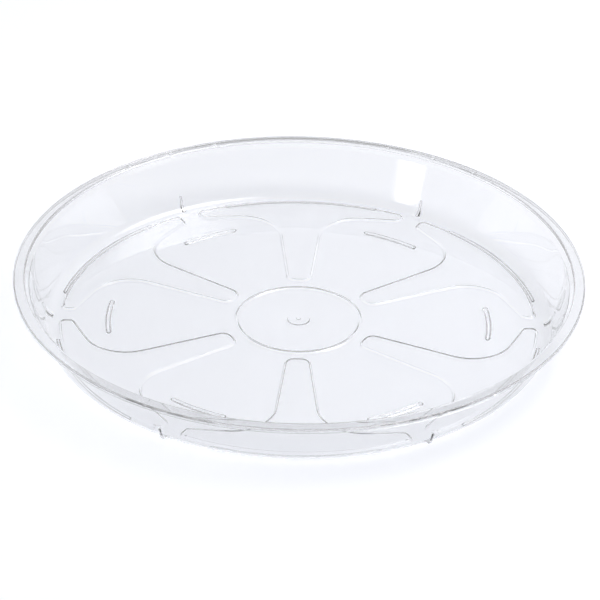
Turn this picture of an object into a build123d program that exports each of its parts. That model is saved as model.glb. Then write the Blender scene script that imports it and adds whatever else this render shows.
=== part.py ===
from build123d import *

import os
from math import atan2, cos, degrees, radians, sin, sqrt, tan

# A clear plant saucer, moulded in one piece and built here as the features of that moulding.
# Millimetres and degrees. +Z is up, and the origin is the middle of the circle that the feet stand on.
# The petals of the floor point along 0, 60, 120 degrees and so on, and the pot rests lie between them.

# Overall size
rim_diameter = 250.0
overall_height = 26.6
shell_thickness = 0.5

# Rim, with the sloping shoulder that leads out to it from the side wall
rim_width = 4.6  # of the flat top
rim_thickness = 1.1
rim_upper_rounding = 0.4
rim_under_rounding = 0.5
lip_thickness = 0.6  # of the rim's edge, which is turned down
lip_height = 2.2  # from the top of the rim
lip_rounding = 0.2
rim_depth = 4.5  # from the top down to the side wall
shoulder_width = 2.3  # seen from above
shoulder_height = 2.6
shoulder_rounding = 1.0

# Side wall and rounded corner
wall_lean = 18.9  # away from upright
corner_radius = 5.2  # inside of the corner between floor and wall

# Pot rests: each is a T whose stem points at the middle and whose bar follows the wall
feature_count = 6  # rests, and petals between them
rest_height = 0.95  # above the floor
rest_slope_width = 0.8  # of the sloping edge, seen from above
rest_wall_gap = 1.0  # floor between a rest and the rounded corner
neck_width = 8.4  # floor between the ends of two rests
bar_end_width = 6.5
bar_lean = 4.5  # inner edge of the bar, away from square to the stem
bar_inner_rounding = 2.8
bar_outer_rounding = 2.9
stem_end_width = 11.0
stem_end_rounding = 4.9
stem_flare = 5.5  # each side
stem_fillet = 18.3  # between stem and bar
stem_ring_gap = 4.1  # floor between the centre ring and a stem

# Centre ring and gate mark
ring_radius = 27.3  # to the middle of the ridge
ring_width = 2.5
ring_height = 0.6  # above the floor
ring_slope_width = 0.85  # of each sloping side, seen from above
gate_radius = 4.8
gate_height = 0.3
gate_nub_radius = 1.0
gate_nub_height = 0.3

# Feet
foot_height = 1.0
petal_foot_width = 2.2
petal_foot_angle = 17.0
petal_foot_inset = 21.6  # from the outer edge of the rests to the middle of the foot
edge_foot_width = 1.6
edge_foot_angle = 38.0

# Stacking ribs on the outside of the rounded corner
rib_thickness = 1.1
rib_depth = 1.0
rib_start_angle = 19.0  # round the corner from straight down
rib_run_in_angle = 6.0  # turn over which the rib comes up to its depth
rib_wall_length = 2.5  # up the straight wall, past the corner

# Levels and radii that follow from those
feature_pitch = 360.0 / feature_count
rim_radius = rim_diameter / 2
rim_bottom = overall_height - rim_depth
rim_inner_radius = rim_radius - rim_width
wall_top_radius = rim_inner_radius - shoulder_width  # inside of the wall, where the shoulder starts
wall_top = overall_height - shoulder_height
shoulder_slope = atan2(shoulder_height, shoulder_width)
floor_bottom = foot_height
floor_top = floor_bottom + shell_thickness
lean = radians(wall_lean)
corner_level = floor_top + corner_radius
corner_turn = 90.0 - wall_lean
outer_corner_radius = corner_radius + shell_thickness
floor_radius = wall_top_radius - (wall_top - corner_level) * tan(lean) - corner_radius / cos(lean)
rest_outer_radius = floor_radius - rest_wall_gap
ring_inner_radius = ring_radius - ring_width / 2
ring_outer_radius = ring_radius + ring_width / 2
stem_end_radius = ring_outer_radius + stem_ring_gap

# A fillet takes at most this share of the straight edge that it shares with another
fillet_share = 0.45

# The hollow under a raised part is drawn in from its outline, so that the plastic keeps its thickness on the slope
rest_hollow_inset = shell_thickness * tan(atan2(rest_height, rest_slope_width) / 2)
ring_hollow_inset = min(
    shell_thickness * tan(atan2(ring_height, ring_slope_width) / 2),
    fillet_share * (ring_width - 2 * ring_slope_width),
)


def wall_point(level, depth):
    """A point of the wall's straight part, at a depth from its inner face, in the XZ half-plane."""
    inner = wall_top_radius - (wall_top - level) * tan(lean)
    return (inner + depth / cos(lean), 0, level)


def corner_point(radius, turn):
    """A point of the rounded corner, turned from straight down towards the wall, in the XZ half-plane."""
    angle = radians(turn)
    return (floor_radius + radius * sin(angle), 0, corner_level - radius * cos(angle))


def corner_arc(radius, start, end):
    """The part of the rounded corner between two turns."""
    middle = (start + end) / 2
    return ThreePointArc(corner_point(radius, start), corner_point(radius, middle), corner_point(radius, end))


def turned(edges):
    """The ring made by turning a closed outline in the XZ half-plane about the middle."""
    return revolve(make_face(edges), Axis.Z)


def rounded(face, corners):
    """The face with each given corner rounded by its own radius."""
    for corner, radius in corners:
        vertex = face.vertices().sort_by_distance(corner)[0]
        face = fillet(vertex, radius)
    return face


def rest_outline():
    """The T of one pot rest where it leaves the floor, with its stem along +X."""
    half_pitch = radians(feature_pitch / 2)
    half_neck = neck_width / 2
    half_end = stem_end_width / 2

    def beside_neck(radius):
        """A point at a radius on the edge of the rest that faces its neighbour across the neck."""
        along = sqrt(radius**2 - half_neck**2)
        return Vector(
            along * cos(half_pitch) + half_neck * sin(half_pitch),
            along * sin(half_pitch) - half_neck * cos(half_pitch),
        )

    stem_corner = Vector(stem_end_radius, half_end)
    bar_inner = beside_neck(rest_outer_radius - bar_end_width)
    bar_outer = beside_neck(rest_outer_radius)
    flare = tan(radians(stem_flare))
    drop = tan(radians(bar_lean))
    reach = bar_inner.X + bar_inner.Y * drop - stem_end_radius
    join_half_width = (half_end + reach * flare) / (1 + drop * flare)
    join = Vector(bar_inner.X + (bar_inner.Y - join_half_width) * drop, join_half_width)

    end_length = (bar_outer - bar_inner).length
    end_turn = radians(90 + bar_lean) - half_pitch
    inner_rounding = min(bar_inner_rounding, fillet_share * end_length / tan(end_turn / 2))
    outer_rounding = min(bar_outer_rounding, fillet_share * end_length)
    stem_rounding = min(stem_end_rounding, 2 * fillet_share * half_end)

    def mirrored(point):
        return Vector(point.X, -point.Y)

    half = [stem_corner, join, bar_inner, bar_outer]
    other_half = [mirrored(point) for point in half]
    outline = make_face(
        [
            Line(other_half[0], half[0]),
            Polyline(*half),
            ThreePointArc(bar_outer, (rest_outer_radius, 0), other_half[-1]),
            Polyline(*other_half),
        ]
    )
    roundings = [stem_rounding, stem_fillet, inner_rounding, outer_rounding]
    return rounded(outline, list(zip(half, roundings)) + list(zip(other_half, roundings)))


def floor_plate(outline):
    """The floor at petal level, open inside the centre ring and where the rests rise from it."""
    plate = extrude(Circle(floor_radius) - Circle(ring_outer_radius), shell_thickness)
    opening = extrude(outline, shell_thickness)
    for index in range(feature_count):
        plate -= Rot(0, 0, (index + 0.5) * feature_pitch) * opening
    return Pos(0, 0, floor_bottom) * plate


def rest_slope(outline):
    """The raised part above an outline, drawn in towards the top by the sloping edge."""
    head = Pos(0, 0, rest_height) * offset(outline, -rest_slope_width)
    return loft([outline.face(), head.face()], ruled=True)


def pot_rest(outline):
    """One rest: a skirt in the floor's opening, a sloping edge and a raised top, hollow underneath."""
    skirt = extrude(outline, shell_thickness)
    top = Pos(0, 0, shell_thickness) * rest_slope(outline)
    hollow = rest_slope(offset(outline, -rest_hollow_inset))
    return Pos(0, 0, floor_bottom) * (skirt + top - hollow)


def ridge_points(inset, level):
    """The corners of the centre ring's ridge over a level, drawn in from both of its edges."""
    inner = ring_inner_radius + inset
    outer = ring_outer_radius - inset
    crest = level + ring_height
    return [
        (inner, 0, level),
        (inner + ring_slope_width, 0, crest),
        (outer - ring_slope_width, 0, crest),
        (outer, 0, level),
    ]


def centre_ring():
    """A low ridge round the middle of the floor, hollow underneath."""
    top = ridge_points(0, floor_top)
    underside = ridge_points(ring_hollow_inset, floor_bottom)
    inner_foot = (ring_inner_radius, 0, floor_bottom)
    outer_foot = (ring_outer_radius, 0, floor_bottom)
    return turned(Polyline(inner_foot, *top, outer_foot, *reversed(underside), close=True))


def centre_disc():
    """The flat floor inside the centre ring."""
    return Pos(0, 0, floor_bottom) * extrude(Circle(ring_inner_radius), shell_thickness)


def gate_mark():
    """The round mark at the middle of the floor, with the nub that the gate leaves."""
    disc = extrude(Circle(gate_radius), gate_height)
    nub = extrude(Circle(gate_nub_radius), gate_height + gate_nub_height)
    return Pos(0, 0, floor_top) * (disc + nub)


def arc_foot(radius, arc, width):
    """A foot that follows the rim, with round ends, centred on +X."""
    path = CenterArc((0, 0), radius, -arc / 2, arc)
    return extrude(SlotArc(path, width), foot_height)


def stacking_rib():
    """A thin rib that hugs the outside of the rounded corner, centred on +X."""
    rib_radius = outer_corner_radius + rib_depth
    full_depth = rib_start_angle + rib_run_in_angle
    along_wall = Vector(sin(lean), 0, cos(lean)) * rib_wall_length
    wall_foot = Vector(*corner_point(outer_corner_radius, corner_turn))
    crest_foot = Vector(*corner_point(rib_radius, corner_turn))
    section = make_face(
        [
            corner_arc(outer_corner_radius, rib_start_angle, corner_turn),
            Polyline(wall_foot, wall_foot + along_wall, crest_foot + along_wall, crest_foot),
            corner_arc(rib_radius, full_depth, corner_turn),
            Line(corner_point(rib_radius, full_depth), corner_point(outer_corner_radius, rib_start_angle)),
        ]
    )
    rib_arc = degrees(rib_thickness / wall_foot.X)
    return Rot(0, 0, -rib_arc / 2) * revolve(section, Axis.Z, rib_arc)


def rounded_corner():
    """The rounded corner that leads from the floor up into the wall."""
    return turned(
        [
            corner_arc(corner_radius, 0, corner_turn),
            Line(corner_point(corner_radius, corner_turn), corner_point(outer_corner_radius, corner_turn)),
            corner_arc(outer_corner_radius, 0, corner_turn),
            Line(corner_point(outer_corner_radius, 0), corner_point(corner_radius, 0)),
        ]
    )


def side_wall():
    """The leaning wall, from the rounded corner up to the underside of the rim."""
    inner_foot = corner_point(corner_radius, corner_turn)
    outer_foot = corner_point(outer_corner_radius, corner_turn)
    inner_top = wall_point(rim_bottom, 0)
    outer_top = wall_point(rim_bottom, shell_thickness)
    return turned(Polyline(inner_foot, inner_top, outer_top, outer_foot, close=True))


def shoulder_outside(level):
    """The point of the shoulder's outer face at a level, in the XZ half-plane."""
    reach = shell_thickness / sin(shoulder_slope) + (level - wall_top) / tan(shoulder_slope)
    return (wall_top_radius + reach, 0, level)


def rim_flange():
    """The rim: the shoulder at the top of the wall, and a flange outwards with a turned-down lip."""
    shoulder_drop = shell_thickness * (1 / sin(shoulder_slope) - 1 / cos(lean))
    shoulder_drop /= 1 / tan(shoulder_slope) - tan(lean)
    inner_foot = (wall_top_radius, 0, wall_top)
    inner_edge = (rim_inner_radius, 0, overall_height)
    upper_edge = (rim_radius, 0, overall_height)
    lip_outer_end = (rim_radius, 0, overall_height - lip_height)
    lip_inner_end = (rim_radius - lip_thickness, 0, overall_height - lip_height)
    lip_root = (rim_radius - lip_thickness, 0, overall_height - rim_thickness)
    root = shoulder_outside(overall_height - rim_thickness)
    outer_foot = shoulder_outside(wall_top - shoulder_drop)
    section = make_face(
        Polyline(
            wall_point(rim_bottom, 0),
            inner_foot,
            inner_edge,
            upper_edge,
            lip_outer_end,
            lip_inner_end,
            lip_root,
            root,
            outer_foot,
            wall_point(rim_bottom, shell_thickness),
            close=True,
        )
    )
    lip_end_rounding = min(lip_rounding, fillet_share * lip_thickness)
    roundings = [
        (inner_foot, shoulder_rounding),
        (inner_edge, shoulder_rounding),
        (upper_edge, rim_upper_rounding),
        (lip_outer_end, lip_end_rounding),
        (lip_inner_end, lip_end_rounding),
        (lip_root, lip_rounding),
        (root, rim_under_rounding),
        (outer_foot, shoulder_rounding),
    ]
    return revolve(rounded(section, roundings), Axis.Z)


outline = rest_outline()
nodes = {
    "floor_plate": floor_plate(outline),
    "centre_ring": centre_ring(),
    "centre_disc": centre_disc(),
    "gate_mark": gate_mark(),
    "rounded_corner": rounded_corner(),
    "side_wall": side_wall(),
    "rim_flange": rim_flange(),
}

rest = pot_rest(outline)
edge_foot = arc_foot(floor_radius, edge_foot_angle, edge_foot_width)
petal_foot = arc_foot(rest_outer_radius - petal_foot_inset, petal_foot_angle, petal_foot_width)
rib = stacking_rib()
for index in range(feature_count):
    at_petal = Rot(0, 0, index * feature_pitch)
    at_rest = Rot(0, 0, (index + 0.5) * feature_pitch)
    nodes[f"pot_rest_{index + 1}"] = at_rest * rest
    nodes[f"edge_foot_{index + 1}"] = at_rest * edge_foot
    nodes[f"petal_foot_{index + 1}"] = at_petal * petal_foot
    nodes[f"stacking_rib_{index + 1}"] = at_petal * rib

os.makedirs("parts", exist_ok=True)
for name, solid in nodes.items():
    export_step(solid, f"parts/{name}.step")
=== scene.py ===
from math import atan2, ceil, cos, hypot, pi, radians, sin, sqrt, tan

import bpy
from mathutils import Matrix, Vector
from mathutils.geometry import tessellate_polygon


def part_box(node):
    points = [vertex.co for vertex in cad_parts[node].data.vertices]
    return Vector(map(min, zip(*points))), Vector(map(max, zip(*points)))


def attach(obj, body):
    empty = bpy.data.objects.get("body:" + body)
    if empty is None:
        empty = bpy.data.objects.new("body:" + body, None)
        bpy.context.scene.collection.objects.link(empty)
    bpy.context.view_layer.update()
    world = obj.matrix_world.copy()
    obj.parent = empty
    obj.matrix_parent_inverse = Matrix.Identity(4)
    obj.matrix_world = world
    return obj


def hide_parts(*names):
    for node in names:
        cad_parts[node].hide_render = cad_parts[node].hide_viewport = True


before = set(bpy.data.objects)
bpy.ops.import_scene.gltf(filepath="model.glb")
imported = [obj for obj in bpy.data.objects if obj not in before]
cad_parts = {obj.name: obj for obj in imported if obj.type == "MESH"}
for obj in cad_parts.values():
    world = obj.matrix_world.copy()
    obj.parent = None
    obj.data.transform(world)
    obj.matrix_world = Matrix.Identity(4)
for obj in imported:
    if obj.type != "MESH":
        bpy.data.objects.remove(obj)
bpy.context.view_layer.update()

# The saucer is one clear moulding, so its surface here is one closed skin over all the CAD features.
# Sizes are in metres. Those that the frame holds are read from it.
MM = 0.001

floor_low, floor_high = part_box("floor_plate")
rim_low, rim_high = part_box("rim_flange")
corner_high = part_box("rounded_corner")[1]
rest_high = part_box("pot_rest_1")[1]
ring_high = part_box("centre_ring")[1]
gate_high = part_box("gate_mark")[1]

table_level = 0.0
floor_bottom = floor_low.z
floor_top = floor_high.z
floor_radius = floor_high.x
rim_radius = rim_high.x
rim_top = rim_high.z
rim_bottom = rim_low.z
shell_thickness = floor_top - floor_bottom
rest_height = rest_high.z - floor_top
ring_height = ring_high.z - floor_top

# Rim, shoulder, wall and corner
rim_width = 4.6 * MM
rim_thickness = 1.1 * MM
rim_upper_rounding = 0.4 * MM
rim_under_rounding = 0.5 * MM
lip_thickness = 0.6 * MM
lip_height = 2.2 * MM
lip_rounding = 0.2 * MM
shoulder_width = 2.3 * MM
shoulder_height = 2.6 * MM
shoulder_rounding = 1.0 * MM
wall_lean = radians(18.9)
corner_radius = 5.2 * MM

# Pot rests
feature_count = 6
pitch = 2 * pi / feature_count
rest_slope_width = 0.8 * MM
rest_wall_gap = 1.0 * MM
rest_foot_rounding = 0.8 * MM  # in the hollow of a bend
rest_crest_rounding = 0.4 * MM  # on the crest of a bend
neck_width = 8.4 * MM
bar_end_width = 6.5 * MM
bar_lean = radians(4.5)
bar_inner_rounding = 2.8 * MM
bar_outer_rounding = 2.9 * MM
stem_end_width = 11.0 * MM
stem_end_rounding = 4.9 * MM
stem_flare = radians(5.5)
stem_fillet = 18.3 * MM
stem_ring_gap = 4.1 * MM
rest_outer_radius = floor_radius - rest_wall_gap
stem_end_radius = ring_high.x + stem_ring_gap

# Centre ring and gate mark
ring_width = 2.5 * MM
ring_slope_width = 0.85 * MM
ring_rounding = 0.3 * MM
gate_height = 0.3 * MM
gate_nub_radius = 1.0 * MM
small_rounding = 0.2 * MM

# Feet
petal_foot_inset = 21.6 * MM
petal_foot_radius = rest_outer_radius - petal_foot_inset
petal_foot_angle = radians(17.0)
petal_foot_width = 2.2 * MM
foot_draft = 0.15 * MM
foot_crest_rounding = 0.8 * MM
edge_foot_angle = radians(38.0)
edge_foot_width = 1.6 * MM

# Stacking ribs
rib_thickness = 1.1 * MM
rib_depth = 1.0 * MM
rib_start_angle = radians(19.0)
rib_run_in_angle = radians(6.0)
rib_wall_length = 2.5 * MM
rib_top = corner_high.z + rib_wall_length * cos(wall_lean)

# How finely round stretches are divided
arc_step = radians(6.0)
section_piece = 0.15 * MM
outline_piece = 1.5 * MM
ring_sides = 240
gate_sides = 72
plain_column = radians(1.5)  # turn between two columns of the wall's mesh
flat_lead = 1.0 * MM  # of floor beside a ridge or the gate mark
rim_reached = 0.01 * MM  # of the rim's edge, past which the section runs down the outside
rim_clearance = 1.0 * MM  # below the rim, where ribs and feet may start

# Places across half of a half-round ridge, as shares of its half width, ending just past its edge
ridge_pieces = 8
past_edge = 1.15
half_round_steps = [sin(pi / 2 * index / ridge_pieces) for index in range(ridge_pieces + 1)] + [past_edge]


def direction(angle):
    """The unit vector at an angle in a plane."""
    return Vector((cos(angle), sin(angle)))


def divisions(turn, radius, longest):
    """How many pieces an arc is divided into, so that none turns too far or is too long."""
    return ceil(max(turn / arc_step, turn * radius / longest))


def rounded_path(corners):
    """An open path of 2-D points through corners given as (x, y, rounding), each rounding made an arc."""
    points = [Vector(corners[0][:2])]
    for before, corner, after in zip(corners, corners[1:], corners[2:]):
        here = Vector(corner[:2])
        back = (Vector(before[:2]) - here).normalized()
        ahead = (Vector(after[:2]) - here).normalized()
        rounding = corner[2]
        turn = pi - back.angle(ahead)
        if rounding == 0:
            points.append(here)
            continue
        reach = rounding * tan(turn / 2)
        centre = here + (back + ahead).normalized() * hypot(reach, rounding)
        start = here + back * reach - centre
        side = 1 if start.x * ahead.y - start.y * ahead.x > 0 else -1
        first = atan2(start.y, start.x)
        count = divisions(turn, rounding, section_piece)
        for index in range(count + 1):
            points.append(centre + rounding * direction(first + side * turn * index / count))
    points.append(Vector(corners[-1][:2]))
    return points


class Skin:
    """Collects the points and faces of one closed surface. Points at one place are one point."""

    grid = 1e-8

    def __init__(self):
        self.points = []
        self.faces = []
        self.known = {}

    def point(self, place):
        key = tuple(round(value / self.grid) for value in place)
        if key not in self.known:
            self.known[key] = len(self.points)
            self.points.append(tuple(place))
        return self.known[key]

    def face(self, places):
        indices = []
        for place in places:
            index = self.point(place)
            if index not in indices:
                indices.append(index)
        if len(indices) > 2:
            self.faces.append(indices)

    def strip(self, loops):
        """Faces between each closed loop and the next, point by point."""
        for inner, outer in zip(loops, loops[1:]):
            for index in range(len(inner)):
                following = (index + 1) % len(inner)
                self.face([inner[index], inner[following], outer[following], outer[index]])

    def plane(self, loops):
        """A flat area inside the first closed loop and outside the others."""
        places = [place for loop in loops for place in loop]
        for triangle in tessellate_polygon(loops):
            self.face([places[index] for index in triangle])

    def mesh(self, name):
        mesh = bpy.data.meshes.new(name)
        mesh.from_pydata(self.points, [], self.faces)
        mesh.validate()
        return mesh


def circle(radius, level, sides):
    """A closed loop round the middle of the saucer."""
    return [(*(radius * direction(2 * pi * index / sides)), level) for index in range(sides)]


def turned_loops(path, sides):
    """The loops of a path of (radius, level) points turned round the middle."""
    return [circle(radius, level, sides) for radius, level in path]


def meeting(normal_a, distance_a, normal_b, distance_b):
    """Where two lines meet, each given by the angle of its normal and its distance from the middle."""
    spread = sin(normal_b - normal_a)
    x = (distance_a * sin(normal_b) - distance_b * sin(normal_a)) / spread
    y = (distance_b * cos(normal_a) - distance_a * cos(normal_b)) / spread
    return Vector((x, y))


def round_corner(centre, radius, start, end):
    """Samples (centre, radius, angle) of a rounded corner. A negative radius hollows the corner."""
    turn = abs(end - start)
    count = divisions(turn, abs(radius), outline_piece)
    return [(centre, radius, start + (end - start) * index / count) for index in range(count + 1)]


def rest_samples():
    """Samples round one T-shaped rest, with its stem along +X, as (centre, radius, angle of the normal)."""
    half_pitch = pitch / 2
    half_neck = neck_width / 2
    neck_normal = half_pitch + pi / 2
    bar_normal = pi + bar_lean
    stem_normal = pi / 2 + stem_flare

    outer_reach = rest_outer_radius - bar_outer_rounding
    outer_offset = half_neck + bar_outer_rounding
    outer_along = sqrt(outer_reach**2 - outer_offset**2)
    outer_centre = outer_along * direction(half_pitch) - outer_offset * direction(neck_normal)
    outer_turn = atan2(outer_centre.y, outer_centre.x)

    inner_reach = rest_outer_radius - bar_end_width
    inner_along = sqrt(inner_reach**2 - half_neck**2)
    bar_corner = inner_along * direction(half_pitch) - half_neck * direction(neck_normal)
    bar_distance = bar_corner.dot(direction(bar_normal))
    stem_corner = Vector((stem_end_radius, stem_end_width / 2))
    stem_distance = stem_corner.dot(direction(stem_normal))

    def rounding(normal_a, distance_a, normal_b, distance_b, radius):
        centre = meeting(normal_a, distance_a - radius, normal_b, distance_b - radius)
        return round_corner(centre, radius, normal_a, normal_b)

    half = round_corner(Vector((0, 0)), rest_outer_radius, 0, outer_turn)
    half += round_corner(outer_centre, bar_outer_rounding, outer_turn, neck_normal)
    half += rounding(neck_normal, -half_neck, bar_normal, bar_distance, bar_inner_rounding)
    half += rounding(bar_normal, bar_distance, stem_normal, stem_distance, -stem_fillet)
    half += rounding(stem_normal, stem_distance, pi, -stem_end_radius, stem_end_rounding)
    mirrored = [(Vector((centre.x, -centre.y)), radius, -angle) for centre, radius, angle in reversed(half)]
    return half + mirrored[:-1]


def foot_samples():
    """Samples round one petal foot, centred on +X."""
    half_angle = petal_foot_angle / 2
    half_width = petal_foot_width / 2
    end = petal_foot_radius * direction(half_angle)
    middle = Vector((0, 0))
    half = round_corner(middle, petal_foot_radius + half_width, 0, half_angle)
    half += round_corner(end, half_width, half_angle, half_angle + pi)
    half += round_corner(middle, -(petal_foot_radius - half_width), half_angle + pi, pi)
    mirrored = [(Vector((centre.x, -centre.y)), radius, -angle) for centre, radius, angle in reversed(half)]
    return half[:-1] + mirrored[:-1]


def loop_of(samples, inset, level, turn):
    """The closed loop at an inset from the sampled outline, turned about the middle."""
    loop = []
    for centre, radius, angle in samples:
        place = centre + (radius - inset) * direction(angle)
        x = place.x * cos(turn) - place.y * sin(turn)
        y = place.x * sin(turn) + place.y * cos(turn)
        loop.append((x, y, level))
    return loop


def stepped_loops(samples, path, turn):
    """The loops of a step that follows a sampled outline, for a path of (inset, level) points."""
    return [loop_of(samples, inset, level, turn) for inset, level in path]


def step_path(start, from_level, to_level, width, near_rounding, far_rounding):
    """A path of (inset, level) points up or down a sloping step with rounded edges."""
    end = start + width
    return rounded_path(
        [
            (start - 2 * near_rounding, from_level, 0),
            (start, from_level, near_rounding),
            (end, to_level, far_rounding),
            (end + 2 * far_rounding, to_level, 0),
        ]
    )


def trimmed(path):
    """The path without its straight lead at each end."""
    return path[1:-1]


def half_round(distance, half_width):
    """The height of a half-round ridge, as a share, at a distance from the middle of the ridge."""
    return sqrt(max(1 - (distance / half_width) ** 2, 0.0))


def wall_path():
    """The section of corner, wall and rim as (radius, level) points, from the floor's top to below it."""
    rim_inner_radius = rim_radius - rim_width
    wall_top_radius = rim_inner_radius - shoulder_width
    wall_top = rim_top - shoulder_height
    shoulder_slope = atan2(shoulder_height, shoulder_width)
    shoulder_drop = shell_thickness * (1 / sin(shoulder_slope) - 1 / cos(wall_lean))
    shoulder_drop /= 1 / tan(shoulder_slope) - tan(wall_lean)

    def inner_wall(level):
        return wall_top_radius - (wall_top - level) * tan(wall_lean)

    def outer_wall(level):
        return inner_wall(level) + shell_thickness / cos(wall_lean)

    def outer_shoulder(level):
        reach = shell_thickness / sin(shoulder_slope) + (level - wall_top) / tan(shoulder_slope)
        return wall_top_radius + reach

    rib_end = [rib_top + rib_thickness / 2 * cos(wall_lean) * share for share in half_round_steps]
    outer_corner = corner_radius + shell_thickness
    under = [floor_radius - edge_foot_width / 2 * share for share in half_round_steps]
    inside = [(floor_radius, floor_top, 0), (inner_wall(floor_top), floor_top, corner_radius)]
    root_level = rim_top - rim_thickness
    lip_end = rim_top - lip_height
    foot_level = wall_top - shoulder_drop
    rim = [
        (wall_top_radius, wall_top, shoulder_rounding),
        (rim_inner_radius, rim_top, shoulder_rounding),
        (rim_radius, rim_top, rim_upper_rounding),
        (rim_radius, lip_end, lip_rounding),
        (rim_radius - lip_thickness, lip_end, lip_rounding),
        (rim_radius - lip_thickness, root_level, lip_rounding),
        (outer_shoulder(root_level), root_level, rim_under_rounding),
        (outer_shoulder(foot_level), foot_level, shoulder_rounding),
    ]
    ledge = [(outer_wall(level), level, 0) for level in reversed(rib_end)]
    outside = [(outer_wall(floor_bottom), floor_bottom, outer_corner)]
    underside = [(radius, floor_bottom, 0) for radius in under[1:]]
    return rounded_path(inside + rim + ledge + outside + underside)


wall_section = wall_path()


def column_angles():
    """Angles round the wall, closer together at each stacking rib and at each end of an edge foot."""
    rib_turns = [rib_thickness / 2 * share / corner_high.x for share in half_round_steps]
    foot_end = pitch / 2 - edge_foot_angle / 2
    foot_turns = [foot_end - edge_foot_width / 2 * share / floor_radius for share in half_round_steps]
    special = rib_turns + foot_turns
    plain_count = int(pitch / 2 / plain_column)
    plain = [plain_column * index for index in range(1, plain_count + 1)]
    clear = plain_column / 3
    kept = []
    for turn in sorted(special + plain):
        crowded = any(abs(turn - other) < clear for other in special)
        if turn in special or not crowded:
            kept.append(turn)
    half = [turn for turn in kept if turn < pitch / 2]
    sector = [-turn for turn in reversed(half[1:])] + half
    return [pitch * index + turn for index in range(feature_count) for turn in sector + [pitch / 2]]


def edge_foot_share(radius, angle):
    """How much of an edge foot there is at a place on the underside."""
    turn = angle % pitch - pitch / 2
    beyond = max(abs(turn) - edge_foot_angle / 2, 0.0) * floor_radius
    return half_round(hypot(radius - floor_radius, beyond), edge_foot_width / 2)


def rib_share(place, angle):
    """How much of a stacking rib there is at a place on the outside of the corner."""
    turn = (angle + pitch / 2) % pitch - pitch / 2
    across = turn * place.x
    beyond = max(place.y - rib_top, 0.0) / cos(wall_lean)
    corner_level = floor_top + corner_radius
    round_corner_angle = atan2(place.x - floor_radius, corner_level - place.y)
    run_in = (round_corner_angle - rib_start_angle) / rib_run_in_angle
    start = min(max(run_in, 0.0), 1.0)
    return start * half_round(hypot(across, beyond), rib_thickness / 2)


def outside_place(place, angle):
    """A point of the outside, raised where there is a rib and pulled down to the table at a foot."""
    corner_centre = Vector((floor_radius, floor_top + corner_radius))
    on_corner = place.y < corner_high.z
    outward = (place - corner_centre).normalized() if on_corner else direction(-wall_lean)
    radius, level = place + outward * rib_depth * rib_share(place, angle)
    level -= (level - table_level) * edge_foot_share(radius, angle)
    return radius, level


def wall_loops():
    """The loops of corner, wall and rim, with the ribs raised and the edge feet pulled down to the table."""
    angles = column_angles()
    outside = False
    loops = []
    for place in wall_section:
        outside = outside or place.x > rim_radius - rim_reached
        loop = []
        for angle in angles:
            radius, level = place
            if outside and level < rim_bottom - rim_clearance:
                radius, level = outside_place(place, angle)
            loop.append((*(radius * direction(angle)), level))
        loops.append(loop)
    return loops


def ridge_path(inset, level, foot_rounding, crest_rounding):
    """The section of the centre ring's ridge over a level, drawn in from both of its edges."""
    inner = ring_high.x - ring_width + inset
    outer = ring_high.x - inset
    crest = level + ring_height
    path = rounded_path(
        [
            (inner - flat_lead, level, 0),
            (inner, level, foot_rounding),
            (inner + ring_slope_width, crest, crest_rounding),
            (outer - ring_slope_width, crest, crest_rounding),
            (outer, level, foot_rounding),
            (outer + flat_lead, level, 0),
        ]
    )
    return trimmed(path)


def build_skin():
    """The whole surface of the saucer."""
    skin = Skin()
    walls = wall_loops()
    skin.strip(walls)

    tight = ring_rounding
    wide = ring_rounding + shell_thickness
    ring_loops = turned_loops(ridge_path(0, floor_top, tight, wide), ring_sides)
    skin.strip(ring_loops)
    ring_hollow_inset = shell_thickness * tan(atan2(ring_height, ring_slope_width) / 2)
    groove_loops = turned_loops(ridge_path(ring_hollow_inset, floor_bottom, wide, tight), ring_sides)
    skin.strip(groove_loops)

    gate_radius = gate_high.x
    disc_level = floor_top + gate_height
    gate_section = rounded_path(
        [
            (0, gate_high.z, 0),
            (gate_nub_radius, gate_high.z, small_rounding),
            (gate_nub_radius, disc_level, small_rounding / 2),
            (gate_radius, disc_level, small_rounding),
            (gate_radius + small_rounding, floor_top, small_rounding),
            (gate_radius + flat_lead, floor_top, 0),
        ]
    )
    gate_loops = turned_loops(gate_section[:-1], gate_sides)
    skin.strip(gate_loops)

    rest = rest_samples()
    slope = rest_slope_width
    foot_bend = rest_foot_rounding
    crest_bend = rest_crest_rounding
    rest_top = floor_top + rest_height
    slope_path = trimmed(step_path(0, floor_top, rest_top, slope, foot_bend, crest_bend))
    slope_angle = atan2(rest_height, rest_slope_width)
    hollow_start = shell_thickness * tan(slope_angle / 2)
    roof = floor_bottom + rest_height
    hollow_path = trimmed(step_path(hollow_start, floor_bottom, roof, slope, crest_bend, foot_bend))
    foot = foot_samples()
    foot_path = trimmed(
        step_path(0, floor_bottom, table_level, foot_draft, small_rounding, foot_crest_rounding)
    )

    top_holes = []
    bottom_holes = []
    for index in range(feature_count):
        rest_turn = (index + 0.5) * pitch
        slope_loops = stepped_loops(rest, slope_path, rest_turn)
        skin.strip(slope_loops)
        skin.plane([slope_loops[-1]])
        top_holes.append(slope_loops[0])
        hollow_loops = stepped_loops(rest, hollow_path, rest_turn)
        skin.strip(hollow_loops)
        skin.plane([hollow_loops[-1]])
        bottom_holes.append(hollow_loops[0])
        foot_loops = stepped_loops(foot, foot_path, index * pitch)
        skin.strip(foot_loops)
        skin.plane([foot_loops[-1]])
        bottom_holes.append(foot_loops[0])

    skin.plane([walls[0], ring_loops[-1]] + top_holes)
    skin.plane([ring_loops[0], gate_loops[-1]])
    skin.plane([walls[-1], groove_loops[-1]] + bottom_holes)
    skin.plane([groove_loops[0]])
    return skin.mesh("saucer_shell")


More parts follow.
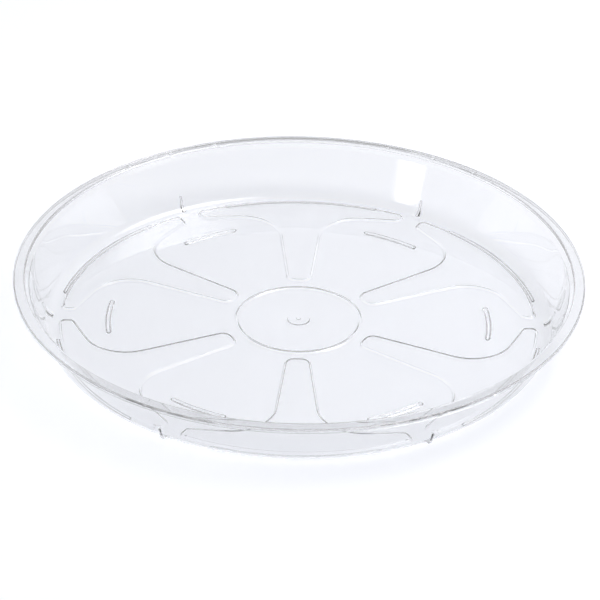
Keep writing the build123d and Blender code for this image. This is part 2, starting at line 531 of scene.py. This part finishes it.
def make_shell():
    """The saucer as one object, with its normals pointing out and flat areas kept flat."""
    shell = bpy.data.objects.new("saucer_shell", build_skin())
    bpy.context.collection.objects.link(shell)
    bpy.context.view_layer.objects.active = shell
    shell.select_set(True)
    bpy.ops.object.mode_set(mode="EDIT")
    bpy.ops.mesh.select_all(action="SELECT")
    bpy.ops.mesh.normals_make_consistent(inside=False)
    bpy.ops.object.mode_set(mode="OBJECT")
    shell.data.shade_smooth()
    weighted = shell.modifiers.new("flat_areas", "WEIGHTED_NORMAL")
    weighted.mode = "FACE_AREA"
    weighted.weight = 100
    return shell


# Clear plastic
plastic_tint = (0.905, 0.907, 0.912, 1)
plastic_ior = 1.57
shadow_tint = (0.74, 0.745, 0.75, 1)  # of the light that falls through one face of the plastic
wave_scale = 45
wave_detail = 2
wave_strength = 0.03
wave_depth = 1.0 * MM
haze_scale = 160
haze_detail = 5
haze_roughness = 0.03


def clear_plastic():
    """Clear colourless plastic with faint flow waves and a slightly uneven gloss."""
    material = bpy.data.materials.new("clear_plastic")
    material.use_nodes = True
    nodes = material.node_tree.nodes
    links = material.node_tree.links
    plastic = nodes["Principled BSDF"]
    output = nodes["Material Output"]
    plastic.inputs["Base Color"].default_value = plastic_tint
    plastic.inputs["Transmission Weight"].default_value = 1
    plastic.inputs["IOR"].default_value = plastic_ior

    place = nodes.new("ShaderNodeTexCoord")
    waves = nodes.new("ShaderNodeTexNoise")
    waves.inputs["Scale"].default_value = wave_scale
    waves.inputs["Detail"].default_value = wave_detail
    links.new(place.outputs["Object"], waves.inputs["Vector"])
    bump = nodes.new("ShaderNodeBump")
    bump.inputs["Strength"].default_value = wave_strength
    bump.inputs["Distance"].default_value = wave_depth
    links.new(waves.outputs["Fac"], bump.inputs["Height"])
    links.new(bump.outputs["Normal"], plastic.inputs["Normal"])

    haze = nodes.new("ShaderNodeTexNoise")
    haze.inputs["Scale"].default_value = haze_scale
    haze.inputs["Detail"].default_value = haze_detail
    links.new(place.outputs["Object"], haze.inputs["Vector"])
    gloss = nodes.new("ShaderNodeMapRange")
    gloss.inputs["To Max"].default_value = haze_roughness
    links.new(haze.outputs["Fac"], gloss.inputs["Value"])
    links.new(gloss.outputs["Result"], plastic.inputs["Roughness"])

    light_through = nodes.new("ShaderNodeBsdfTransparent")
    light_through.inputs["Color"].default_value = shadow_tint
    ray = nodes.new("ShaderNodeLightPath")
    mix = nodes.new("ShaderNodeMixShader")
    links.new(ray.outputs["Is Shadow Ray"], mix.inputs["Fac"])
    links.new(plastic.outputs["BSDF"], mix.inputs[1])
    links.new(light_through.outputs["BSDF"], mix.inputs[2])
    links.new(mix.outputs["Shader"], output.inputs["Surface"])
    return material


# Stage: a white table, soft lamps and a pale world
table_size = 6.0
table_gap = 0.05 * MM  # below the feet, so that the two surfaces don't coincide
table_colour = (0.80, 0.81, 0.85, 1)
glow_colour = (0.94, 0.955, 1.0, 1)
table_glow = 0.46
background_white = 1.0
room_back = 0.55
room_front = 0.2
room_top = 0.45
front_to_back = (-0.7, 0.1)  # where the room turns from its front to its back level, along Y
walls_to_top = (0.2, 0.7)  # where the ceiling comes in, along Z
fade_start = 0.2  # share of a soft box's half width where it starts to darken


def shown_ray(nodes, links):
    """1 for a ray that shows the background: from the camera, by reflection or through clear plastic."""
    ray = nodes.new("ShaderNodeLightPath")
    total = nodes.new("ShaderNodeMath")
    total.operation = "ADD"
    links.new(ray.outputs["Is Camera Ray"], total.inputs[0])
    links.new(ray.outputs["Is Transmission Ray"], total.inputs[1])
    shown = nodes.new("ShaderNodeMath")
    shown.operation = "ADD"
    shown.use_clamp = True
    links.new(total.outputs[0], shown.inputs[0])
    links.new(ray.outputs["Is Glossy Ray"], shown.inputs[1])
    return shown.outputs[0]


def make_table():
    """The white surface under the saucer. It glows a little for rays that show it, and keeps the shadow."""
    mesh = bpy.data.meshes.new("table")
    half = table_size / 2
    corners = [(-half, -half, 0), (half, -half, 0), (half, half, 0), (-half, half, 0)]
    mesh.from_pydata(corners, [], [(0, 1, 2, 3)])
    table = bpy.data.objects.new("table", mesh)
    bpy.context.collection.objects.link(table)
    table.location.z = table_level - table_gap
    material = bpy.data.materials.new("table_white")
    material.use_nodes = True
    nodes = material.node_tree.nodes
    links = material.node_tree.links
    surface = nodes["Principled BSDF"]
    surface.inputs["Base Color"].default_value = table_colour
    surface.inputs["Roughness"].default_value = 1
    surface.inputs["Specular IOR Level"].default_value = 0
    surface.inputs["Emission Color"].default_value = glow_colour
    glow = nodes.new("ShaderNodeMath")
    glow.operation = "MULTIPLY"
    glow.inputs[1].default_value = table_glow
    links.new(shown_ray(nodes, links), glow.inputs[0])
    links.new(glow.outputs[0], surface.inputs["Emission Strength"])
    mesh.materials.append(material)


def blend(nodes, span, levels):
    """A node that turns smoothly from one level to another while its value crosses a span."""
    node = nodes.new("ShaderNodeMapRange")
    node.interpolation_type = "SMOOTHSTEP"
    node.inputs["From Min"].default_value, node.inputs["From Max"].default_value = span
    node.inputs["To Min"].default_value, node.inputs["To Max"].default_value = levels
    return node


def make_world():
    """A pale studio: white to the camera, soft to the saucer, and dim on the camera's side."""
    world = bpy.data.worlds.new("studio")
    bpy.context.scene.world = world
    world.use_nodes = True
    nodes = world.node_tree.nodes
    links = world.node_tree.links
    back = nodes["Background"]
    back.inputs["Color"].default_value = (1, 1, 1, 1)
    place = nodes.new("ShaderNodeTexCoord")
    axes = nodes.new("ShaderNodeSeparateXYZ")
    links.new(place.outputs["Generated"], axes.inputs["Vector"])
    room = blend(nodes, front_to_back, (room_front, room_back))
    links.new(axes.outputs["Y"], room.inputs["Value"])
    ceiling = blend(nodes, walls_to_top, (0, room_top))
    links.new(axes.outputs["Z"], ceiling.inputs["Value"])
    studio = nodes.new("ShaderNodeMath")
    studio.operation = "MAXIMUM"
    links.new(room.outputs["Result"], studio.inputs[0])
    links.new(ceiling.outputs["Result"], studio.inputs[1])
    ray = nodes.new("ShaderNodeLightPath")
    level = nodes.new("ShaderNodeMix")
    level.inputs["B"].default_value = background_white
    links.new(ray.outputs["Is Camera Ray"], level.inputs["Factor"])
    links.new(studio.outputs[0], level.inputs["A"])
    links.new(level.outputs["Result"], back.inputs["Strength"])


def fade_to_edge(lamp, box, size):
    """Make a soft box brightest in the middle and dark at its edge, so that it reflects softly."""
    lamp.use_nodes = True
    nodes = lamp.node_tree.nodes
    links = lamp.node_tree.links
    place = nodes.new("ShaderNodeTexCoord")
    place.object = box
    share = nodes.new("ShaderNodeVectorMath")
    share.operation = "DIVIDE"
    share.inputs[1].default_value = (size[0] / 2, size[1] / 2, 1)
    links.new(place.outputs["Object"], share.inputs[0])
    reach = nodes.new("ShaderNodeVectorMath")
    reach.operation = "LENGTH"
    links.new(share.outputs["Vector"], reach.inputs[0])
    fade = blend(nodes, (1, fade_start), (0, 1))
    links.new(reach.outputs["Value"], fade.inputs["Value"])
    links.new(fade.outputs["Result"], nodes["Emission"].inputs["Strength"])


def make_lamp(name, azimuth, elevation, distance, size, power):
    """A soft box that faces the saucer. Azimuth runs counter-clockwise from the right, seen from above."""
    lamp = bpy.data.lights.new(name, "AREA")
    lamp.shape = "ELLIPSE"
    lamp.size, lamp.size_y = size
    lamp.energy = power
    box = bpy.data.objects.new(name, lamp)
    bpy.context.collection.objects.link(box)
    around = radians(azimuth)
    above = radians(elevation)
    place = distance * Vector((cos(around) * cos(above), sin(around) * cos(above), sin(above)))
    box.location = place
    box.rotation_mode = "QUATERNION"
    box.rotation_quaternion = (-place).to_track_quat("-Z", "Y")
    fade_to_edge(lamp, box, size)


# Camera: a long lens, looking down at the saucer from the front, very slightly rolled
camera_elevation = radians(31.2864)
camera_distance = 1307.6 * MM
camera_roll = radians(1.0741)
camera_lens = 178.08  # millimetres, on Blender's usual 36 mm sensor
camera_aim = Vector((0.49 * MM, 0, floor_top + 10.04 * MM))


def make_camera():
    """The camera at the photograph's viewing angle."""
    data = bpy.data.cameras.new("camera")
    data.lens = camera_lens
    camera = bpy.data.objects.new("camera", data)
    bpy.context.collection.objects.link(camera)
    back = Vector((0, -cos(camera_elevation), sin(camera_elevation)))
    level_right = Vector((1, 0, 0))
    level_up = back.cross(level_right)
    right = level_right * cos(camera_roll) + level_up * sin(camera_roll)
    up = level_up * cos(camera_roll) - level_right * sin(camera_roll)
    turn = Matrix((right, up, back)).transposed()
    camera.matrix_world = Matrix.Translation(camera_aim + back * camera_distance) @ turn.to_4x4()
    bpy.context.scene.camera = camera


shell = make_shell()
shell.data.materials.append(clear_plastic())
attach(shell, "root")
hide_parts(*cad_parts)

make_table()
make_world()
make_lamp("front_left_box", azimuth=222, elevation=6, distance=1.8, size=(0.5, 0.7), power=3)
make_lamp("right_box", azimuth=14, elevation=64, distance=0.85, size=(0.75, 0.75), power=7)
make_camera()

bpy.context.scene.view_settings.view_transform = "Standard"

# Light bounces many times inside clear plastic before it comes out
light_bounces = 48
bpy.context.scene.cycles.max_bounces = light_bounces
bpy.context.scene.cycles.glossy_bounces = light_bounces
bpy.context.scene.cycles.transmission_bounces = light_bounces
